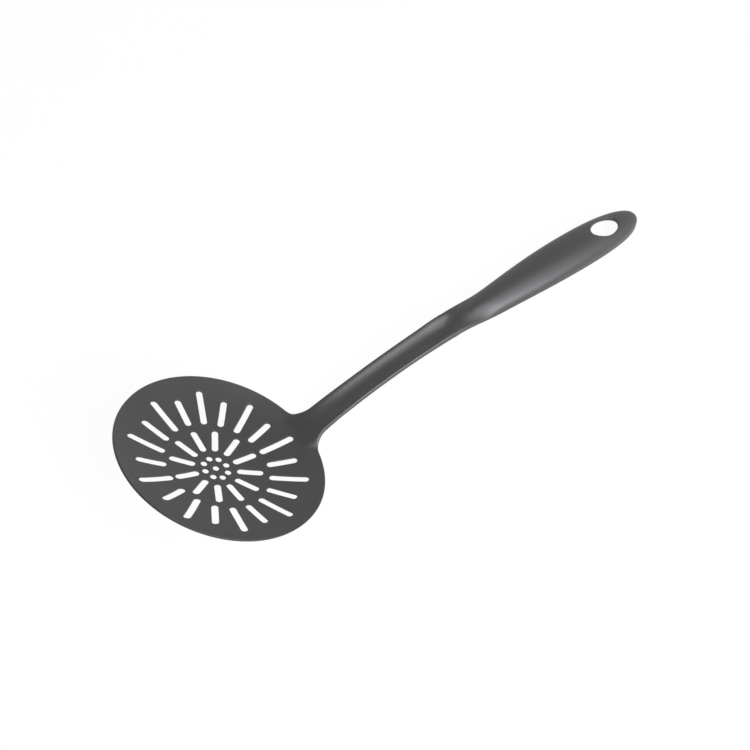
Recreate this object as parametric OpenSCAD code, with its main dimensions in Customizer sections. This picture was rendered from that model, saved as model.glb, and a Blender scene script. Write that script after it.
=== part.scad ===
// Skimmer: slotted dished blade, troughed neck and two-piece crowned grip.
// Millimetres. The skimmer lies on the table at z = 0: the root of the blade and the
// grip end touch it. X runs from the blade to the grip end, Z points up.

/* [Blade] */
// Diameter across the rim of the blade
blade_d = 115; // [100:1:130]
// Depth of the dish below the rim
dish_depth = 12; // [9:0.5:15]
// Wall of the blade
blade_t = 1.4; // [1.2:0.1:2]
// Tilt of the rim against the table, front edge up
blade_tilt = 31.7; // [29:0.1:36]

/* [Strainer pattern] */
// Diameter of the small round holes
hole_d = 3.7; // [2.8:0.1:4.2]
// Radius of the ring of small holes
hole_ring_r = 6.8; // [6:0.1:7.4]
// Small holes in the ring
hole_count = 8; // [5:1:9]
// Width of the slots
slot_w = 3.9; // [3:0.1:4.4]
// Slots in the inner row
inner_slots = 12; // [8:1:13]
// Long slots in the outer row, with a short one between each pair
outer_pairs = 10; // [7:1:12]
// Radius at which the inner row starts
inner_from = 11.6; // [11:0.1:14]
// Solid ring between the two rows
row_gap = 2.9; // [2:0.1:5]
// Part of the slotted width that the inner row takes
row_split = 0.41; // [0.35:0.01:0.5]
// Solid band between the long slots and the rim
rim_band = 7.9; // [6:0.1:11]
// How much earlier the short slots end
short_step = 4.1; // [2:0.1:7]

/* [Neck] */
// Length of the neck in plan, from the rim to the grip
neck_len = 100; // [80:1:120]
// Width of the neck at the blade
neck_w = 14.2; // [12:0.2:18]
// Radius of the bend along the top edges of the neck
neck_bend_r = 390; // [340:5:480]
// Slope of the top edges where the neck leaves the blade
neck_angle = 14.2; // [12:0.1:16]
// Height of the neck at the rim
neck_root_h = 4.5; // [4:0.1:4.7]
// Height of the neck halfway along
neck_h = 5.4; // [4.8:0.1:7]
// Height of the neck where it meets the grip
neck_end_h = 6.2; // [6:0.1:7]
// Height of the flat side of the neck
neck_side_h = 3; // [2.2:0.1:3.8]
// Width of the trough along the top of the neck
trough_w = 11.4; // [8:0.2:11.6]
// Depth of the trough
trough_d = 2.2; // [1.2:0.1:2.6]
// Distance from the deep end of the trough to the grip
trough_stop = 5; // [2:1:20]
// Length of the ramp at the end of the trough
trough_run = 12; // [6:1:16]
// Radius of the curl from the dish up into the neck
root_curl_r = 20; // [16:1:24]
// How far inside the rim the curl starts on the upper face
root_curl_in = 6.3; // [5.5:0.1:8]
// How far inside the rim the curl starts on the underside
root_keel_in = 2; // [1:0.5:3]
// Radius of the saddle across the root
root_saddle_r = 45; // [35:1:60]
// Radius of the fillets between rim and neck, in plan
root_fillet_r = 8; // [5:0.5:12]

/* [Grip] */
// Length of the grip in plan
grip_len = 147.2; // [130:0.2:165]
// Width of the grip where it meets the neck
grip_front_w = 15.7; // [15:0.1:18]
// Largest width of the grip
grip_w = 25.1; // [21:0.1:30]
// Distance from the grip end to the widest place
grip_wide_at = 57.8; // [50:0.2:62]
// Rise of the crest above the neck end
crest_rise = 1.1; // [0.5:0.1:1.5]
// Distance from the neck end to the highest place of the crest
crest_at = 50; // [44:1:58]
// Length over which the grip end drops from the crest
nose_len = 79; // [70:1:80]
// Length over which the neck section turns into the grip section
shoulder_len = 35; // [28:1:36]
// Height from the side edge up to the neck top, behind the shoulder
side_h = 5.8; // [5.6:0.1:6.6]
// Height of the side edge above the table at the grip end
side_z_end = 3.85; // [3.85:0.05:4.5]
// Bow of the side edge between these two
side_bow = 2.2; // [2.2:0.1:3]
// Depth of the rounded rim below the side edge, behind the shoulder
rim_drop = 1.6; // [1.2:0.1:2]
// Depth of that rim at the grip end
rim_drop_end = 6; // [4:0.1:6]
// Wall of the shell
shell_wall = 2.8; // [2.2:0.1:3.4]
// Wall of the back cover
back_wall = 2; // [1.6:0.1:2.4]
// Bulge of the back cover below the rim
back_belly = 1.6; // [0.5:0.1:2.2]

/* [Hang hole] */
// Length of the hang hole
hang_len = 19.5; // [15:0.5:22]
// Width of the hang hole
hang_w = 13.2; // [9.6:0.2:14]
// Radius of the ends of the hang hole
hang_end_r = 5; // [4:0.1:5.6]
// Distance from the grip end to the middle of the hang hole
hang_from_end = 26.4; // [24:0.2:30]

/* [Inside the grip] */
// Width of the tang
tang_w = 9; // [8:0.2:9.4]
// Thickness of the tang
tang_t = 2.4; // [2:0.1:2.6]
// Depth of the tang below the top of the neck
tang_deep = 2.2; // [2:0.1:2.4]
// Length of the tang
tang_len = 80; // [72:1:88]
// Diameter of the locating pegs
peg_d = 4; // [3:0.1:4.6]
// Distance from the neck end to the first peg
peg_first = 38; // [36:1:44]
// Distance between the pegs
peg_pitch = 30; // [20:1:34]
// Radial clearance of the pegs in the tang and in the sockets
peg_gap = 0.1; // [0.05:0.01:0.2]
// Clearance between pieces along the seams
seam = 0.15; // [0.1:0.05:0.4]

/* [Hidden] */
$fn = 96;

nylon = [0.28, 0.285, 0.3];
grip_nylon = [0.3, 0.305, 0.32];
over = 1;
// Length that reaches past every piece that is cut
reach = neck_len + blade_d;
// Straight part of a round-ended strip, as a part of its width
flat_w = 0.98;
// Offset that lets neighbouring curves cross instead of grazing each other
graze = 0.2;

// Dish, in the blade's own frame: rim plane at z = 0, axis along Z
blade_r = blade_d / 2;
dish_r = (blade_r * blade_r + dish_depth * dish_depth) / (2 * dish_depth);
dish_c = dish_r - dish_depth;
under_r = dish_r + blade_t;
rim_h = sqrt(under_r * under_r - blade_r * blade_r) - sqrt(dish_r * dish_r - blade_r * blade_r);

// Curl from the dish to the neck, still in the blade's frame: centres of its upper and lower arcs
neck_slope = blade_tilt + neck_angle;
curl_in_r = blade_r - root_curl_in;
curl_start = asin(curl_in_r / dish_r);
curl_arm = dish_r + graze - root_curl_r;
curl_c = [curl_arm * sin(curl_start), dish_c - curl_arm * cos(curl_start)];
curl_end = curl_c + root_curl_r * [sin(neck_slope), -cos(neck_slope)];
keel_r = root_curl_r + blade_t;
keel_start = asin((blade_r - root_keel_in) / under_r);
keel_arm = under_r - graze - keel_r;
keel_c = [keel_arm * sin(keel_start), dish_c - keel_arm * cos(keel_start)];

// Placing the blade: the keel under the curl or the edge of the rim touches the table
keel_z = keel_r + keel_c[0] * sin(blade_tilt) - keel_c[1] * cos(blade_tilt);
rim_z = blade_r * sin(blade_tilt) + rim_h * cos(blade_tilt);
blade_z = max(keel_z, rim_z);

// A point of the blade's frame, seen from the side, moved into the table frame
function tilted(p) = [
    p[0] * cos(blade_tilt) + p[1] * sin(blade_tilt),
    -p[0] * sin(blade_tilt) + p[1] * cos(blade_tilt) + blade_z
];

// Height of the dish below the rim plane at a radius
function dish_at(r) = dish_c - sqrt(dish_r * dish_r - r * r);

// A point of the dish in plan
function on_dish(r, a) = [
    r * cos(a) * cos(blade_tilt) + dish_at(r) * sin(blade_tilt),
    r * sin(a)
];

// Neck, seen from the side: the top edges are one arc, the underside another
root_p = tilted(curl_end);
root_x = blade_r * cos(blade_tilt);
top_c = root_p + [0, trough_d + graze] + neck_bend_r * [sin(neck_angle), -cos(neck_angle)];
function top_z(x) = top_c[1] + sqrt(neck_bend_r * neck_bend_r - pow(x - top_c[0], 2));
neck_x = root_p[0] - 3 * graze;
belly_at = 0.55;
grip_x = root_x + neck_len;
tip_x = grip_x + grip_len;
half_x = mix(root_x, grip_x, belly_at);
neck_a = [root_x, top_z(root_x) - neck_root_h];
neck_b = [half_x, top_z(half_x) - neck_h];
neck_e = [grip_x, top_z(grip_x) - neck_end_h];

// Centre of the circle through three points
function circle_c(a, b, c) =
    let (
        d = 2 * (a[0] * (b[1] - c[1]) + b[0] * (c[1] - a[1]) + c[0] * (a[1] - b[1])),
        a2 = a * a,
        b2 = b * b,
        c2 = c * c
    )
    [
        (a2 * (b[1] - c[1]) + b2 * (c[1] - a[1]) + c2 * (a[1] - b[1])) / d,
        (a2 * (c[0] - b[0]) + b2 * (a[0] - c[0]) + c2 * (b[0] - a[0])) / d
    ];

belly_c = circle_c(neck_a, neck_b, neck_e);
belly_r = norm(neck_e - belly_c);
belly_h = neck_h - neck_side_h;
belly_arc = (neck_w * neck_w / 4 + belly_h * belly_h) / (2 * belly_h);
trough_arc = (trough_w * trough_w / 4 + trough_d * trough_d) / (2 * trough_d);
trough_x = grip_x - trough_stop;
trough_ramp = atan(trough_run / trough_d);

// The top edges bend down to the rim beside the root
ease_len = 17.5;
ease_x = root_x + ease_len;
ease_slope = asin((top_c[0] - ease_x) / neck_bend_r);
ease_r = 50;
ease_c = [ease_x + ease_r * sin(ease_slope), top_z(ease_x) + graze - ease_r * cos(ease_slope)];

// Root fillets in plan: each touches the side of the neck and the rim
rim_plan_r = blade_r / cos(blade_tilt);
rim_plan_x = root_x - rim_plan_r;
fillet_y = neck_w / 2 + root_fillet_r;
fillet_x = rim_plan_x + sqrt(pow(rim_plan_r + root_fillet_r, 2) - fillet_y * fillet_y);

// Saddle across the root: at the ends of the fillets it comes down to the rim
touch_y = fillet_y * rim_plan_r / (rim_plan_r + root_fillet_r);
touch_z = blade_z - sqrt(blade_r * blade_r - touch_y * touch_y) * sin(blade_tilt);
saddle_z = touch_z + graze - sqrt(root_saddle_r * root_saddle_r - touch_y * touch_y);

// Whole length, for the origin in the middle of it
front_x = -root_x - rim_h * sin(blade_tilt);
mid_x = (front_x + tip_x) / 2;

// Strainer rows
outer_to = blade_r - rim_band;
row_w = outer_to - inner_from - row_gap;
inner_to = inner_from + row_split * row_w;
outer_from = inner_to + row_gap;

// Grip, seen from the side and in plan
neck_top = top_z(grip_x);
crest_r = (crest_at * crest_at + crest_rise * crest_rise) / (2 * crest_rise);
wide_x = tip_x - grip_wide_at;
nose_x = tip_x - nose_len;
hang_x = tip_x - hang_from_end;

// Powers of the curves: swell and end in plan, drop of the nose and its rim, arch at the neck,
// over the grip and inside it
swell_power = 1.7;
plan_power = 2.3;
nose_power = 2.85;
rim_power = 5;
front_power = 6;
crown_power = 2;
end_crown_power = 2.3;
hollow_power = 3;
end_power = 6;

function ease(t) = let (u = min(max(t, 0), 1)) u * u * (3 - 2 * u);
function mix(a, b, t) = a + (b - a) * t;
function fall(t, n) = pow(max(1 - pow(min(max(t, 0), 1), n), 0), 1 / n);

function swell(x) = pow(sin(90 * min(max((x - grip_x) / (wide_x - grip_x), 0), 1)), swell_power);
function half_w(x) =
    mix(grip_front_w, grip_w, swell(x)) / 2 * fall((x - wide_x) / grip_wide_at, plan_power);
function shoulder(x) = ease((x - grip_x) / shoulder_len);
function along(x) = min(max((x - grip_x - shoulder_len) / (tip_x - grip_x - shoulder_len), 0), 1);
function side_line(x) =
    mix(neck_top - side_h, side_z_end, along(x)) + side_bow * 4 * along(x) * (1 - along(x));
seam_side_z = neck_top - neck_side_h - neck_end_h + neck_h;
function side_z(x) = mix(seam_side_z + rim_drop, side_line(x), shoulder(x));
function crest_line(x) =
    neck_top + crest_rise - crest_r + sqrt(crest_r * crest_r - pow(x - grip_x - crest_at, 2));
function crest_z(x) =
    side_z(x) + (crest_line(x) - side_z(x)) * fall((x - nose_x) / nose_len, nose_power);
function rim_h_at(x) = mix(rim_drop, rim_drop_end, along(x)) * fall((x - nose_x) / nose_len, rim_power);
function low_z(x) = side_z(x) - rim_h_at(x);
function grip_power(x) = mix(crown_power, end_crown_power, along(x) * along(x));
function power(x) = mix(front_power, grip_power(x), shoulder(x));

// Hollow of the shell: a slot for the tang at the neck that opens into an even wall
tip_min = 0.3;
hollow_least = 0.05;
hollow_foot = 0.3;
hollow_end_x = tip_x - 2 * shell_wall;
tang_top = neck_top - tang_deep;
tang_low = tang_top - tang_t;
tang_half = tang_w / 2 + seam;
back_end_x = hang_x - hang_len / 2 - 2 * shell_wall;
function inner_half(x) = mix(tang_half - graze, half_w(x) - shell_wall, shoulder(x));
function hollow_end(x) = max(fall((x - wide_x) / (hollow_end_x - wide_x), end_power), hollow_least);
function hollow_z(x) =
    let (free = mix(tang_top + seam, crest_z(x) - shell_wall, shoulder(x)))
    mix(low_z(x) + tip_min, free, hollow_end(x));

// Back cover
belly_run = 1.5;
function back_half(x) = inner_half(x) - seam;
function back_edge_z(x) =
    mix(neck_top - neck_end_h + tang_half * tang_half / (2 * belly_arc), low_z(x), shoulder(x));
function back_low_z(x) =
    mix(neck_top - neck_end_h, low_z(x) - back_belly * (1 - ease(along(x) * belly_run)), shoulder(x));
function back_top_z(x) = mix(tang_low - seam, min(low_z(x) + back_wall, tang_low - seam), shoulder(x));

// Pegs: wider above the tang, and a wider socket below it
collar_d = tang_w - 2;
socket_d = tang_w - 1;
peg_root = 0.6;

// Stations along the grip
steps = 14;
arc_steps = 24;
fine_x = [for (i = [0 : steps]) grip_x + seam + (wide_x - grip_x - seam) * i / steps];
nose_xs = [for (i = [1 : steps]) wide_x + grip_wide_at * sin(90 * i / steps)];
shell_x = concat(fine_x, nose_xs);
hollow_x = concat(
    [grip_x - over],
    fine_x,
    [for (i = [1 : steps]) wide_x + (hollow_end_x - wide_x) * sin(90 * i / steps)]
);
back_x = [for (i = [0 : steps]) grip_x + seam + (back_end_x - grip_x - seam) * i / steps];

// Half of a rounded arch from one side over the crest to the other
function arch(x, w, z0, z1, n) = [
    for (i = [0 : arc_steps])
        let (
            a = 180 * i / arc_steps,
            c = cos(a),
            s = sin(a)
        )
        [x, sign(c) * w * pow(abs(c), 2 / n), z0 + (z1 - z0) * pow(abs(s), 2 / n)]
];

// Rounded rim below the side edge: parts of the half width and of the drop
rim_curve = [[0.985, 0.6], [0.93, 0.92], [0.86, 1]];

function shell_ring(x) =
    let (
        w = max(half_w(x), tip_min),
        z0 = side_z(x),
        z1 = max(crest_z(x), z0 + tip_min),
        zl = min(low_z(x), z0 - graze)
    )
    concat(
        arch(x, w, z0, z1, power(x)),
        [for (p = rim_curve) [x, -w * p[0], mix(z0, zl, p[1])]],
        [for (i = [len(rim_curve) - 1 : -1 : 0])
            [x, w * rim_curve[i][0], mix(z0, zl, rim_curve[i][1])]]
    );

function hollow_ring(x) =
    let (
        u = max(x, grip_x),
        w = inner_half(u) * hollow_end(u),
        foot = mix(low_z(u), hollow_z(u), hollow_foot),
        zl = -back_belly - over
    )
    concat(
        arch(x, w, foot, hollow_z(u), mix(front_power, hollow_power, shoulder(u))),
        [[x, -w, zl], [x, w, zl]]
    );

function back_ring(x) =
    let (
        w = back_half(x),
        e = back_edge_z(x),
        b = back_low_z(x),
        t = back_top_z(x)
    )
    concat(
        [[x, w, t], [x, -w, t]],
        [for (i = [0 : arc_steps]) let (u = 2 * i / arc_steps - 1) [x, w * u, mix(b, e, u * u)]]
    );

// Skin over a row of rings with equal numbers of points
module loft(rings) {
    n = len(rings[0]);
    m = len(rings);
    sides = [
        for (i = [0 : m - 2], j = [0 : n - 1], k = [0, 1])
            let (
                a = i * n + j,
                b = i * n + (j + 1) % n
            )
            k == 0 ? [a, a + n, b + n] : [a, b + n, b]
    ];
    first = [for (j = [0 : n - 1]) j];
    last = [for (j = [n - 1 : -1 : 0]) (m - 1) * n + j];
    polyhedron([for (r = rings) each r], concat(sides, [first], [last]), 10);
}

module placed() {
    translate([-mid_x, 0, 0]) children();
}

module tilt_blade() {
    translate([0, 0, blade_z]) rotate([0, blade_tilt, 0]) children();
}

// A round-ended strip in plan between two points; its straight sides lie just inside the round ends
module strip(p, q, w) {
    d = q - p;
    translate(p) circle(d = w);
    translate(q) circle(d = w);
    translate(p) rotate(atan2(d[1], d[0])) translate([0, -flat_w * w / 2]) square([norm(d), flat_w * w]);
}

// Slot from one radius to another, narrowed in plan as the tilt asks
module slot(r1, r2, a) {
    turn = norm([cos(blade_tilt) * cos(a), sin(a)]);
    w = slot_w * cos(blade_tilt) / turn;
    strip(on_dish(r1 + slot_w / 2, a), on_dish(r2 - slot_w / 2, a), w);
}

module small_hole(r, a) {
    w = hole_d * cos(blade_tilt);
    e = [0, (hole_d - w) / 2];
    strip(on_dish(r, a) - e, on_dish(r, a) + e, w);
}

module strainer_pattern() {
    small_hole(0, 0);
    for (i = [0 : hole_count - 1]) small_hole(hole_ring_r, 360 * i / hole_count);
    for (i = [0 : inner_slots - 1]) slot(inner_from, inner_to, 360 * i / inner_slots);
    for (i = [0 : outer_pairs - 1]) {
        slot(outer_from, outer_to, 360 * i / outer_pairs);
        slot(outer_from, outer_to - short_step, 360 * (i + 0.5) / outer_pairs);
    }
}

// Spherical shell up to the rim
module dish() {
    tilt_blade()
        intersection() {
            translate([0, 0, dish_c])
                rotate([90, 0, 0])
                    difference() {
                        sphere(under_r, $fn = 360);
                        sphere(dish_r, $fn = 360);
                    }
            translate([0, 0, -dish_depth - blade_t - over])
                cylinder(h = dish_depth + blade_t + 2 * over, r = blade_r, $fn = 360);
        }
}

// Curl that leads from the dish up into the neck, kept to the root in plan and under the saddle
module root_curl() {
    intersection() {
        tilt_blade()
            rotate_extrude()
                intersection() {
                    difference() {
                        translate(keel_c) circle(keel_r, $fn = 180);
                        translate(curl_c) circle(root_curl_r, $fn = 180);
                    }
                    translate([curl_in_r, -reach]) square([reach, reach + curl_end[1]]);
                }
        linear_extrude(reach) root_plan();
        translate([0, 0, saddle_z]) rotate([0, 90, 0]) cylinder(h = reach, r = root_saddle_r, $fn = 360);
    }
}

module root_plan() {
    difference() {
        translate([0, -fillet_y]) square([fillet_x, 2 * fillet_y]);
        for (s = [-1, 1]) translate([fillet_x, s * fillet_y]) circle(root_fillet_r);
    }
}

// A ring about a cross axis
module cross_ring(c, r, section_r) {
    translate([c[0], 0, c[1]])
        rotate([90, 0, 0])
            rotate_extrude($fn = 360)
                translate([r, 0]) circle(section_r);
}

module cross_drum(c, r) {
    translate([c[0], 0, c[1]])
        rotate([90, 0, 0])
            cylinder(h = reach, r = r, center = true, $fn = 360);
}

module neck_bar() {
    difference() {
        intersection() {
            cross_ring(belly_c, belly_r + belly_arc, belly_arc);
            cross_drum(top_c, neck_bend_r);
            linear_extrude(reach) polygon([
                [neck_x, -neck_w / 2],
                [grip_x, -grip_front_w / 2],
                [grip_x, grip_front_w / 2],
                [neck_x, neck_w / 2]
            ]);
        }
        trough();
        root_relief();
    }
}

// Shallow channel along the top of the neck that ends in a ramp
module trough() {
    intersection() {
        cross_ring(top_c, neck_bend_r - trough_d + trough_arc, trough_arc);
        translate([trough_x, -reach / 2, top_z(trough_x) - trough_d])
            rotate([0, trough_ramp, 0])
                translate([-reach, 0, -reach / 2]) cube([reach, reach, reach]);
    }
}

// Takes the top edges of the neck down to the rim at the root
module root_relief() {
    difference() {
        translate([0, -reach / 2, 0]) cube([ease_x, reach, reach]);
        cross_drum(ease_c, ease_r);
    }
}

module tang() {
    difference() {
        translate([grip_x - over, -tang_w / 2, tang_low]) cube([tang_len + over, tang_w, tang_t]);
        for (i = [0, 1]) translate([grip_x + peg_first + i * peg_pitch, 0, 0])
            cylinder(h = reach, d = peg_d + 2 * peg_gap);
    }
}

module strainer_head() {
    color(nylon) placed() {
        difference() {
            union() {
                dish();
                root_curl();
                neck_bar();
            }
            linear_extrude(reach) strainer_pattern();
        }
        tang();
    }
}

// Room for the tang in the shell, open below
module tang_way() {
    translate([grip_x - over, -tang_half, -over])
        cube([tang_len + seam + over, 2 * tang_half, tang_top + seam + over]);
}

// Oval of four arcs
module hang_outline() {
    c = hang_len / 2 - hang_end_r;
    b = hang_w / 2;
    side_r = (c * c + b * b - hang_end_r * hang_end_r) / (2 * (b - hang_end_r));
    d = side_r - b;
    touch = c + hang_end_r * c / (side_r - hang_end_r);
    for (s = [-1, 1]) translate([s * c, 0]) circle(hang_end_r);
    intersection() {
        translate([0, d]) circle(side_r);
        translate([0, -d]) circle(side_r);
        square([2 * touch, hang_w], center = true);
    }
}

module pegs() {
    for (i = [0, 1]) {
        x = grip_x + peg_first + i * peg_pitch;
        roof = mix(crest_z(x), hollow_z(x), peg_root);
        low = back_top_z(x);
        translate([x, 0, low]) cylinder(h = roof - low, d = peg_d);
        translate([x, 0, tang_top]) cylinder(h = roof - tang_top, d = collar_d);
    }
}

module grip_shell() {
    color(grip_nylon) placed() {
        difference() {
            loft([for (x = shell_x) shell_ring(x)]);
            loft([for (x = hollow_x) hollow_ring(x)]);
            tang_way();
            trough();
            translate([hang_x, 0, -over]) linear_extrude(reach) hang_outline();
        }
        pegs();
    }
}

module sockets() {
    for (i = [0, 1]) {
        x = grip_x + peg_first + i * peg_pitch;
        low = back_top_z(x) - back_wall / 2;
        translate([x, 0, low]) difference() {
            cylinder(h = tang_low - low, d = socket_d);
            translate([0, 0, back_wall / 2 - seam]) cylinder(h = reach, d = peg_d + 2 * peg_gap);
        }
    }
}

module grip_back() {
    color(nylon) placed() {
        loft([for (x = back_x) back_ring(x)]);
        sockets();
    }
}

strainer_head();
grip_shell();
grip_back();
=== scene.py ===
# %% [markdown]
# # A nylon skimmer, drawn flat and then shaped
# The skimmer is three dark nylon mouldings: a slotted blade that runs on into a neck and a hidden
# tang, a crowned shell for the hand, and a cover under that shell. It lies on a table, on the root
# of the blade and on the end of the grip. This lesson loads the measured model first, so that every
# piece made here goes exactly where it says. Sizes are in millimetres until the last step of a piece.

# %% Load the measured model
import math

import bmesh
import bpy
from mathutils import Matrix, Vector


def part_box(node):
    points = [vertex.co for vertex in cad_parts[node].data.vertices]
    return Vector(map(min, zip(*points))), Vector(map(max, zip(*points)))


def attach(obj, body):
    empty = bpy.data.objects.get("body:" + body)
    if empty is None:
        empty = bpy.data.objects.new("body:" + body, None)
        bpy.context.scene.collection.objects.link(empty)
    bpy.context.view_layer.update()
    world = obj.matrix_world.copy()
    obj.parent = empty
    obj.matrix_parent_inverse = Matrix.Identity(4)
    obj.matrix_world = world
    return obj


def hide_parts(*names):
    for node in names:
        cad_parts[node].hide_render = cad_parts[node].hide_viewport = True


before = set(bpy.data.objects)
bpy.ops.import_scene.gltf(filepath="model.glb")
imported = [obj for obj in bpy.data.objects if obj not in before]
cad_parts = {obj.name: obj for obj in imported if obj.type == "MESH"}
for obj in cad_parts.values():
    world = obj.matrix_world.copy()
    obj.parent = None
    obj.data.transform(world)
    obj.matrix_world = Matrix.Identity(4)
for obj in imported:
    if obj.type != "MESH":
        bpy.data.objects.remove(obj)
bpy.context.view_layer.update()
print("nodes:", ", ".join(sorted(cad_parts)))

# %% [markdown]
# ## The camera
# A photo fixes the camera: the round rim shows as an ellipse, and the shape of that ellipse gives
# the viewing angle and the distance. The lens is given for a 36 mm sensor and a square picture.

# %% The camera
CAMERA_PLACE = (-0.19594, -0.26923, 0.53505)
CAMERA_TURN = (31.288, 2.228, -35.979)
LENS = 52.194
SENSOR = 36.0
CLIP_START = 0.01

eye = bpy.data.cameras.new("eye")
eye.sensor_width = SENSOR
eye.lens = LENS
eye.clip_start = CLIP_START
camera = bpy.data.objects.new("eye", eye)
bpy.context.collection.objects.link(camera)
camera.location = CAMERA_PLACE
camera.rotation_euler = [math.radians(a) for a in CAMERA_TURN]
bpy.context.scene.camera = camera
print("camera at", [round(c, 3) for c in camera.location])

# %% [markdown]
# ## Helpers for curves
# Moulded plastic has no sudden bends. A few small functions give soft changes: a step that starts
# and ends level, a mix of two values, a quarter curve that falls to nothing, and a maximum that
# rounds the corner where two surfaces meet.

# %% Helpers for curves


def clamp(t):
    return min(max(t, 0.0), 1.0)


def ease(t):
    u = clamp(t)
    return u * u * (3 - 2 * u)


def rise(x, start, length):
    """A soft step along the handle, from 0 at the start to 1 after this length."""
    return ease((x - start) / length)


def mix(a, b, t):
    return a + (b - a) * t


def fall(t, power):
    """From 1 down to 0 along a rounded quarter curve."""
    return max(1 - clamp(t) ** power, 0.0) ** (1 / power)


def soft_max(a, b, reach):
    near = max(reach - abs(a - b), 0.0) / reach
    return max(a, b) + near * near * reach / 4


print("a soft step at a quarter:", ease(0.25))

# %% [markdown]
# ## A plate with holes
# All three pieces come out of moulds that open straight up and down, so every hole has upright
# walls. That makes a simple plan possible: draw the piece flat, with all its holes, cut it into a
# fine net, and only then lift the net to the curved upper and lower faces. A Boolean cut through a
# curved shell would leave ragged shading around each slot. A flat net stays clean.
#
# Each vertex also carries a note of how far it is from the nearest edge: 0 on the edge and 1 where
# the rounding of that edge ends. The note is a number layer of the mesh, so every later cut fills it
# in for the new vertices.

# %% A plate with holes
NET_TOLERANCE = 0.002


def closed_loop(bm, points, filled=False):
    """A ring of vertices through these points of the plan."""
    made = bmesh.ops.create_circle(bm, cap_ends=filled, segments=len(points), radius=1.0)
    for vertex, (x, y) in zip(made["verts"], points):
        vertex.co = (x, y, 0.0)
    return made["verts"]


def inner_ring(bm, faces, step, value):
    """Insets a region and writes the note on its new edge."""
    bmesh.ops.inset_region(bm, faces=faces, thickness=step, use_boundary=True, use_even_offset=True)
    note = bm.verts.layers.float["note"]
    inside = set(faces)
    for v in {v for face in faces for v in face.verts}:
        if not inside.issuperset(v.link_faces):
            v[note] = value(v.co.x, v.co.y)


def inner_rings(bm, faces, rims, near=lambda x, y: True):
    """Insets once for each (distance from the edge, note). Where near says no, the note is 1."""
    done = 0.0
    for distance, note in rims:
        inner_ring(bm, faces, distance - done, lambda x, y, n=note: n if near(x, y) else 1.0)
        done = distance


def flat_plate(outline, rims, holes=(), hole_rims=(), near_hole=None):
    """A flat sheet with holes. Both lists of rims hold (distance from the edge, note)."""
    bm = bmesh.new()
    bm.verts.layers.float.new("note")
    closed_loop(bm, outline, filled=True)
    middle = bm.faces[:]
    inner_rings(bm, middle, rims)
    if holes:
        edge = middle[0].edges[:]
        bmesh.ops.delete(bm, geom=middle, context="FACES_ONLY")
        for hole in holes:
            ring = closed_loop(bm, hole)
            edge += {e for v in ring for e in v.link_edges}
        filled = bmesh.ops.triangle_fill(bm, use_beauty=True, edges=edge, normal=(0, 0, 1))
        middle = [f for f in filled["geom"] if isinstance(f, bmesh.types.BMFace)]
        inner_rings(bm, middle, hole_rims, near_hole)
    return bm


def cut_net(bm, xs, ys):
    """Cuts the sheet along lines across and along."""
    cuts = [((x, 0, 0), (1, 0, 0)) for x in xs] + [((0, y, 0), (0, 1, 0)) for y in ys]
    for point, normal in cuts:
        everything = bm.verts[:] + bm.edges[:] + bm.faces[:]
        bmesh.ops.bisect_plane(bm, geom=everything, dist=NET_TOLERANCE, plane_co=point, plane_no=normal)
    bmesh.ops.dissolve_degenerate(bm, dist=NET_TOLERANCE, edges=bm.edges[:])


print("plate helpers ready; the net is cut to within", NET_TOLERANCE, "mm")

# %% [markdown]
# ## From the plate to the piece
# Extruding the sheet gives it a lower face and upright walls. Then each vertex is lifted: the upper
# ones to the upper face and the lower ones to the lower face, less the rounding of the edge that
# the note asks for. Millimetres turn into metres in the same step. The plan has its origin under the
# middle of the blade, so it is also moved along the handle to where the measured grip ends.

# %% From the plate to the piece
RIM_R = 57.49
TILT = math.radians(31.7)
NECK_LEN = 100.0
GRIP_LEN = 147.2
ROOT_X = RIM_R * math.cos(TILT)
GRIP_X = ROOT_X + NECK_LEN
TIP_X = GRIP_X + GRIP_LEN
SHIFT = TIP_X - 1000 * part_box("grip_shell")[1][0]
SHARP_EDGE = math.radians(42)


def rounding(note):
    """Depth of a round edge, from 1 on the edge to 0 where the rounding ends."""
    gone = 1 - clamp(note)
    return 1 - math.sqrt(max(1 - gone * gone, 0.0))


def place(bm, verts, face, drop, lean=lambda x, y: 0.0):
    """Lifts vertices to a face, less the rounding of its edge, and writes their place in metres."""
    note = bm.verts.layers.float["note"]
    for v in verts:
        x, y = v.co.xy
        rounded = drop(x, y) * rounding(v[note])
        x += lean(x, y)
        v.co = ((x - SHIFT) / 1000, y / 1000, (face(x, y) - rounded) / 1000)


def lift(bm, upper, lower, upper_round, lower_round, lean=lambda x, y: 0.0):
    """Gives the sheet its two faces. Lean shifts the lower face along the handle."""
    lowest = bm.verts[:]
    made = bmesh.ops.extrude_face_region(bm, geom=bm.faces[:], use_keep_orig=True)
    highest = [v for v in made["geom"] if isinstance(v, bmesh.types.BMVert)]
    place(bm, highest, upper, upper_round)
    place(bm, lowest, lower, lambda x, y: -lower_round(x, y), lean)
    bm.verts.layers.float.remove(bm.verts.layers.float["note"])
    bmesh.ops.recalc_face_normals(bm, faces=bm.faces[:])


def finish_piece(name, bm, body, node):
    """Turns a bmesh into a smooth-shaded object that stands for a node of the measured model."""
    for face in bm.faces:
        face.smooth = True
    for edge in bm.edges:
        edge.smooth = not (edge.is_manifold and edge.calc_face_angle() > SHARP_EDGE)
    open_edges = sum(not e.is_manifold for e in bm.edges)
    mesh = bpy.data.meshes.new(name)
    bm.to_mesh(mesh)
    bm.free()
    piece = bpy.data.objects.new(name, mesh)
    bpy.context.collection.objects.link(piece)
    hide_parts(node)
    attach(piece, body)
    triangles = sum(len(p.vertices) - 2 for p in mesh.polygons)
    print(name, "has", triangles, "triangles and", open_edges, "open edges")
    return piece


print("the plan is moved by", round(-SHIFT, 2), "mm along the handle")

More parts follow.
